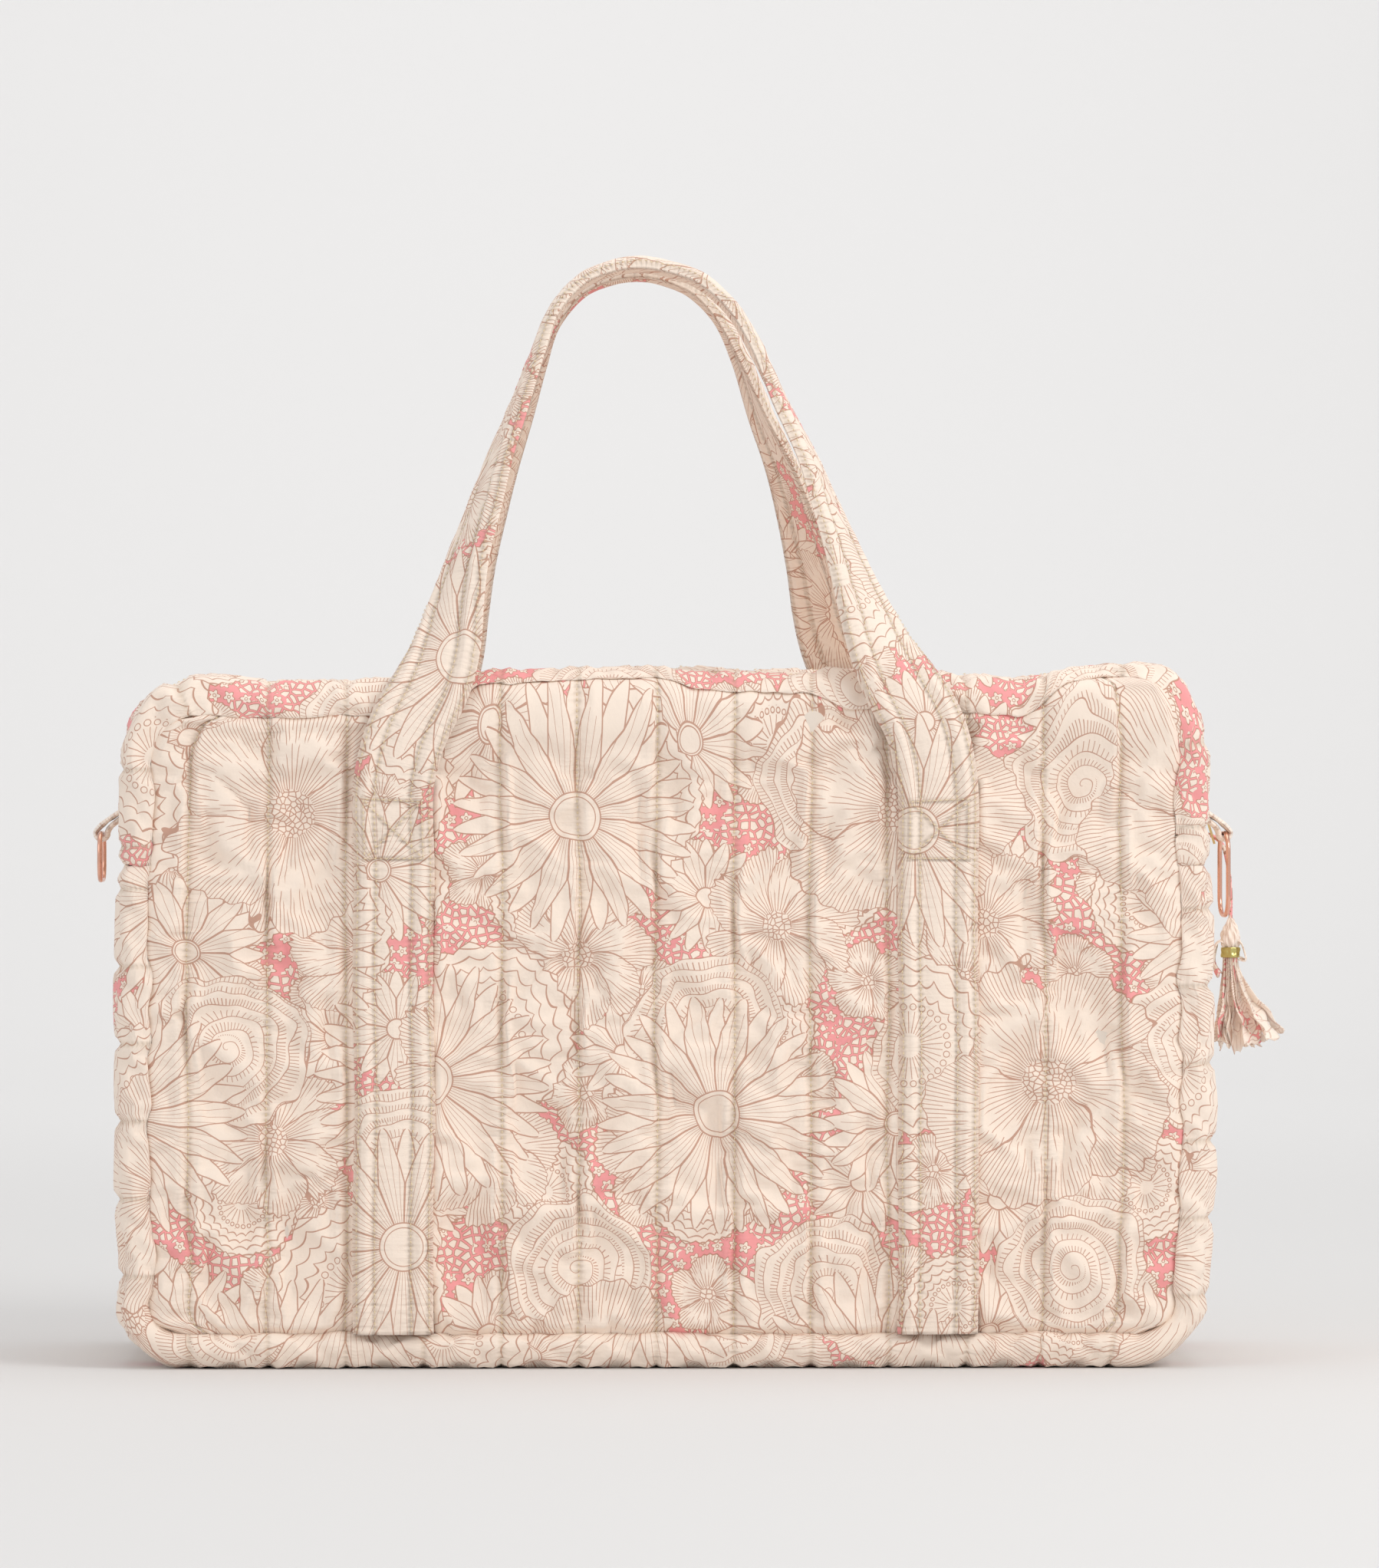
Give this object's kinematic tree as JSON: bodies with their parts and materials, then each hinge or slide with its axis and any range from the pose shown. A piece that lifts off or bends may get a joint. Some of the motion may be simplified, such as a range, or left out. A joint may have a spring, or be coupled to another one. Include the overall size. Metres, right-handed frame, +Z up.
{
  "type": "quilted knitting bag",
  "caption": "Padded floral tote for knitting: box body with zipped top, two strap handles sewn down the faces, end rings and a tassel on the zip pull.",
  "frame": {"origin": "centre of the base, on the surface it stands on", "axes": "+Z up, X along the bag with the tassel at +X, +Y towards the rear face"},
  "size_m": [0.5992, 0.2346, 0.547],
  "materials": {
    "quilted_print": "quilted cotton with a line-drawn flower print",
    "print_tape": "the same print, unquilted",
    "lining_cotton": "plain woven cotton",
    "pocket_cotton": "plain woven cotton",
    "bias_binding": "plain bias tape",
    "zip_tape": "woven polyester tape",
    "zip_teeth": "satin resin teeth",
    "slider_metal": "polished light gold",
    "stop_metal": "polished light gold",
    "ring_metal": "polished rose gold",
    "stitch_thread": "spun polyester thread",
    "cord_fabric": "rolled print cotton",
    "tassel_fabric": "torn print cotton strips",
    "tassel_metal": "crimped gold foil band"
  },
  "bodies": {
    "bag": {"front_panel": "quilted_print", "rear_panel": "quilted_print", "gusset_band": "quilted_print", "front_zip_gusset": "quilted_print", "rear_zip_gusset": "quilted_print", "front_lining": "lining_cotton", "rear_lining": "lining_cotton", "gusset_lining": "lining_cotton", "front_seam_binding": "bias_binding", "rear_seam_binding": "bias_binding", "inner_pocket": "pocket_cotton", "left_zip_tape": "zip_tape", "right_zip_tape": "zip_tape", "left_zip_run": "zip_teeth", "right_zip_run": "zip_teeth", "left_zip_stop": "stop_metal", "right_zip_stop": "stop_metal", "front_left_strap": "quilted_print", "front_right_strap": "quilted_print", "rear_left_strap": "quilted_print", "rear_right_strap": "quilted_print", "front_box_stitching": "stitch_thread", "rear_box_stitching": "stitch_thread", "left_ring_tab": "print_tape", "right_ring_tab": "print_tape"},
    "front_mouth_flap": {"front_flap": "quilted_print", "front_flap_tape": "zip_tape", "front_flap_teeth": "zip_teeth"},
    "rear_mouth_flap": {"rear_flap": "quilted_print", "rear_flap_tape": "zip_tape", "rear_flap_teeth": "zip_teeth"},
    "front_carry_handle": {"front_handle": "quilted_print"},
    "rear_carry_handle": {"rear_handle": "quilted_print"},
    "left_oval_ring": {"left_ring": "ring_metal"},
    "right_oval_ring": {"right_ring": "ring_metal"},
    "slider": {"zip_slider": "slider_metal"},
    "pull": {"zip_pull": "slider_metal"},
    "cord": {"pull_cord": "cord_fabric"},
    "tassel": {"tassel_head": "tassel_fabric", "tassel_band": "tassel_metal", "tassel_skirt": "tassel_fabric"}
  },
  "joints": [
    {"name": "front_flap_open", "type": "hinge", "parent": "bag", "child": "front_mouth_flap", "pos_m": [0, -0.085, 0.342], "axis": [1, 0, 0], "range_deg": [-65, 0]},
    {"name": "rear_flap_open", "type": "hinge", "parent": "bag", "child": "rear_mouth_flap", "pos_m": [0, 0.085, 0.342], "axis": [1, 0, 0], "range_deg": [0, 65]},
    {"name": "front_handle_swing", "type": "hinge", "parent": "bag", "child": "front_carry_handle", "pos_m": [0, -0.1125, 0.2895], "axis": [1, 0, 0], "range_deg": [0, 150]},
    {"name": "rear_handle_swing", "type": "hinge", "parent": "bag", "child": "rear_carry_handle", "pos_m": [0, 0.1125, 0.2895], "axis": [1, 0, 0], "range_deg": [-150, 0]},
    {"name": "zip_slide", "type": "slide", "parent": "bag", "child": "slider", "axis": [0, 0, 1], "range_m": [0, 0.012], "deforming": ["right_zip_run"]},
    {"name": "pull_swing", "type": "hinge", "parent": "slider", "child": "pull", "pos_m": [0.273, 0, 0.2875], "axis": [0, 0.9385, 0.3453], "range_deg": [-120, 0]},
    {"name": "cord_swing", "type": "hinge", "parent": "pull", "child": "cord", "pos_m": [0.2806, 0.0086, 0.2642], "axis": [0, 1, 0], "range_deg": [-65, 0]},
    {"name": "tassel_swing", "type": "hinge", "parent": "cord", "child": "tassel", "pos_m": [0.29, 0.0086, 0.2213], "axis": [1, 0, 0], "range_deg": [-40, 40]},
    {"name": "left_ring_swing", "type": "hinge", "parent": "bag", "child": "left_oval_ring", "pos_m": [-0.285, -0.012, 0.2655], "axis": [0, 1, 0], "range_deg": [0, 120]},
    {"name": "right_ring_swing", "type": "hinge", "parent": "bag", "child": "right_oval_ring", "pos_m": [0.285, -0.012, 0.2655], "axis": [0, 1, 0], "range_deg": [-90, 0]}
  ],
  "couplings": [
    {"joint": "rear_flap_open", "follows": "front_flap_open", "ratio": -1},
    {"joint": "zip_slide", "follows": "front_flap_open", "m_per_rad": -0.0105}
  ]
}
